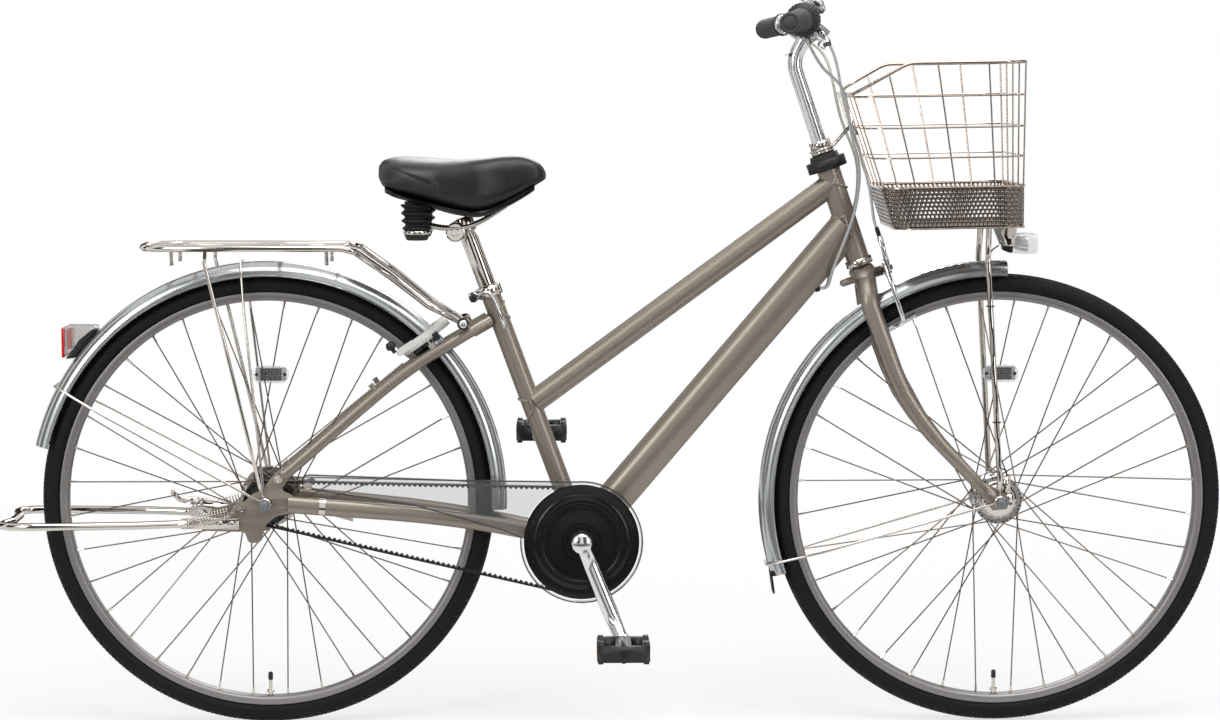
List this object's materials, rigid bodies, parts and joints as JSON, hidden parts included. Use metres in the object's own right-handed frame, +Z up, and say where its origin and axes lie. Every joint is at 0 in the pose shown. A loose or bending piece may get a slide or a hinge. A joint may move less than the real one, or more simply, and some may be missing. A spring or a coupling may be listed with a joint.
{
  "type": "city bike",
  "caption": "City bike with a belt drive, a wire basket, a rear carrier, a ring lock, mudguards and a folded stand.",
  "frame": {"origin": "on the ground, midway along the bike and on its middle plane", "axes": "+X forward, +Y to the rider's left, +Z up"},
  "size_m": [1.8434, 0.5746, 1.1013],
  "materials": {
    "frame_paint": "satin",
    "bright_steel": "polished",
    "aluminium": "bright",
    "rim_metal": "satin",
    "guard_metal": "satin",
    "dark_metal": "satin black",
    "tyre": "matte",
    "rubber": "matte",
    "black_plastic": "matte",
    "gloss_black": "gloss",
    "grey_plastic": "satin",
    "clear_plastic": "clear",
    "saddle_cover": "satin",
    "lamp": "clear",
    "red_lens": "gloss",
    "cable_housing": "satin"
  },
  "bodies": {
    "frame": {"main_frame": "frame_paint", "rear_triangle": "frame_paint", "seat_collar": "bright_steel", "headset_lower_cup": "bright_steel", "steering_lock": "black_plastic", "bottom_bracket": "dark_metal", "rear_mudguard": "guard_metal", "tail_light": "red_lens", "rear_carrier": "bright_steel", "belt_cover": "clear_plastic", "drive_belt": "rubber", "ring_lock_body": "grey_plastic", "rear_axle": "bright_steel", "stand_spring_right": "bright_steel", "stand_spring_left": "bright_steel"},
    "seat": {"seatpost": "bright_steel", "saddle_springs": "bright_steel", "saddle": "saddle_cover"},
    "clamp_lever": {"seat_clamp_lever": "aluminium"},
    "shackle": {"ring_lock_shackle": "bright_steel"},
    "stand": {"stand_legs": "bright_steel"},
    "stand_lock": {"stand_lock_lever": "bright_steel"},
    "rear_brake": {"rear_brake_arm": "bright_steel"},
    "rear_sprocket": {"rear_pulley": "dark_metal"},
    "crank": {"crank_spindle": "bright_steel", "crank_arm_right": "aluminium", "crank_arm_left": "aluminium", "front_pulley": "dark_metal", "pulley_cover": "gloss_black"},
    "right_pedal": {"pedal_right": "black_plastic"},
    "left_pedal": {"pedal_left": "black_plastic"},
    "rear_wheel": {"rear_tyre": "tyre", "rear_rim": "rim_metal", "rear_hub": "dark_metal"},
    "steering": {"fork": "frame_paint", "front_axle": "bright_steel", "headset_nuts": "bright_steel", "stem": "aluminium", "handlebar": "aluminium", "grip_right": "black_plastic", "grip_left": "black_plastic", "brake_bracket_right": "aluminium", "brake_bracket_left": "aluminium", "basket": "bright_steel", "basket_bracket": "bright_steel", "basket_stay": "bright_steel", "front_mudguard": "guard_metal", "front_brake_cable": "cable_housing", "rear_brake_cable": "cable_housing", "shift_cable": "cable_housing"},
    "front_wheel": {"front_tyre": "tyre", "front_rim": "rim_metal", "front_hub": "aluminium"},
    "shifter": {"shifter_drum": "black_plastic"},
    "right_lever": {"brake_lever_right": "aluminium"},
    "left_lever": {"brake_lever_left": "aluminium"},
    "right_caliper": {"caliper_arm_right": "aluminium"},
    "left_caliper": {"caliper_arm_left": "aluminium"},
    "bell_striker": {"bell_lever": "bright_steel"},
    "lamp": {"headlight": "lamp"}
  },
  "joints": [
    {"name": "steering_turn", "type": "hinge", "parent": "frame", "child": "steering", "pos_m": [0.36849, 0, 0.70572], "axis": [-0.319, 0, 0.9478], "range_deg": [-60, 60], "deforming": ["rear_brake_cable", "shift_cable"]},
    {"name": "front_wheel_spin", "type": "hinge", "parent": "steering", "child": "front_wheel", "pos_m": [0.58075, 0, 0.3415], "axis": [0, 1, 0], "continuous": true},
    {"name": "rear_wheel_spin", "type": "hinge", "parent": "frame", "child": "rear_wheel", "pos_m": [-0.52355, 0, 0.3415], "axis": [0, 1, 0], "continuous": true},
    {"name": "crank_spin", "type": "hinge", "parent": "frame", "child": "crank", "pos_m": [-0.04955, 0, 0.282], "axis": [0, 1, 0], "continuous": true, "deforming": ["drive_belt"]},
    {"name": "rear_sprocket_spin", "type": "hinge", "parent": "frame", "child": "rear_sprocket", "pos_m": [-0.52355, 0, 0.3415], "axis": [0, 1, 0], "continuous": true},
    {"name": "right_pedal_spin", "type": "hinge", "parent": "crank", "child": "right_pedal", "pos_m": [0.01142, 0, 0.13407], "axis": [0, 1, 0], "continuous": true},
    {"name": "left_pedal_spin", "type": "hinge", "parent": "crank", "child": "left_pedal", "pos_m": [-0.11052, 0, 0.42993], "axis": [0, 1, 0], "continuous": true},
    {"name": "right_lever_pull", "type": "hinge", "parent": "steering", "child": "right_lever", "pos_m": [0.30202, -0.14683, 1.04225], "axis": [0.6112, -0.1879, 0.7689], "range_deg": [-12, 0], "stiffness_Nm_per_rad": 0.5, "springref_deg": 17.19},
    {"name": "left_lever_pull", "type": "hinge", "parent": "steering", "child": "left_lever", "pos_m": [0.29415, 0.18037, 1.04031], "axis": [-0.6112, -0.1879, -0.7689], "range_deg": [-16, 0], "stiffness_Nm_per_rad": 0.5, "springref_deg": 17.19},
    {"name": "right_caliper_close", "type": "hinge", "parent": "steering", "child": "right_caliper", "pos_m": [0.37758, 0, 0.67871], "axis": [0.9478, 0, 0.319], "range_deg": [0, 1.25]},
    {"name": "left_caliper_close", "type": "hinge", "parent": "steering", "child": "left_caliper", "pos_m": [0.37758, 0, 0.67871], "axis": [0.9478, 0, 0.319], "range_deg": [-1.25, 0], "deforming": ["front_brake_cable"]},
    {"name": "rear_brake_pull", "type": "hinge", "parent": "frame", "child": "rear_brake", "pos_m": [-0.49755, 0.0548, 0.3615], "axis": [0, 1, 0], "range_deg": [-8, 0]},
    {"name": "shifter_twist", "type": "hinge", "parent": "steering", "child": "shifter", "pos_m": [0.27943, -0.133, 1.06358], "axis": [-0.2281, -0.972, -0.0562], "range_deg": [0, 70]},
    {"name": "bell_strike", "type": "hinge", "parent": "steering", "child": "bell_striker", "pos_m": [0.28827, -0.13914, 1.07948], "axis": [0.5493, 0.3495, 0.759], "range_deg": [-30, 0], "stiffness_Nm_per_rad": 0.02, "springref_deg": 28.65},
    {"name": "lamp_tilt", "type": "hinge", "parent": "steering", "child": "lamp", "pos_m": [0.59445, 0, 0.7315], "axis": [0, 1, 0], "range_deg": [-12, 12]},
    {"name": "seat_height", "type": "slide", "parent": "frame", "child": "seat", "axis": [-0.3469, 0, 0.9379], "range_m": [-0.05, 0.06]},
    {"name": "seat_clamp_open", "type": "hinge", "parent": "frame", "child": "clamp_lever", "pos_m": [-0.21177, -0.014, 0.64848], "axis": [0, 1, 0], "range_deg": [-90, 0]},
    {"name": "stand_fold", "type": "hinge", "parent": "frame", "child": "stand", "pos_m": [-0.57355, 0, 0.3125], "axis": [0, 1, 0], "range_deg": [-105, 0], "stiffness_Nm_per_rad": 2, "springref_deg": 68.75, "deforming": ["stand_spring_right", "stand_spring_left"]},
    {"name": "stand_lock_turn", "type": "hinge", "parent": "stand", "child": "stand_lock", "pos_m": [-0.63325, 0.0673, 0.3275], "axis": [0, 1, 0], "range_deg": [0, 25]},
    {"name": "shackle_close", "type": "hinge", "parent": "frame", "child": "shackle", "pos_m": [-0.29255, 0, 0.5845], "axis": [0.5878, 0, -0.809], "range_deg": [-112, 0], "stiffness_Nm_per_rad": 0.05, "springref_deg": 57.3}
  ],
  "couplings": [
    {"joint": "rear_sprocket_spin", "follows": "crank_spin", "ratio": 2.4615},
    {"joint": "right_caliper_close", "follows": "right_lever_pull", "ratio": -0.1},
    {"joint": "left_caliper_close", "follows": "right_lever_pull", "ratio": 0.1},
    {"joint": "rear_brake_pull", "follows": "left_lever_pull", "ratio": 0.5}
  ]
}
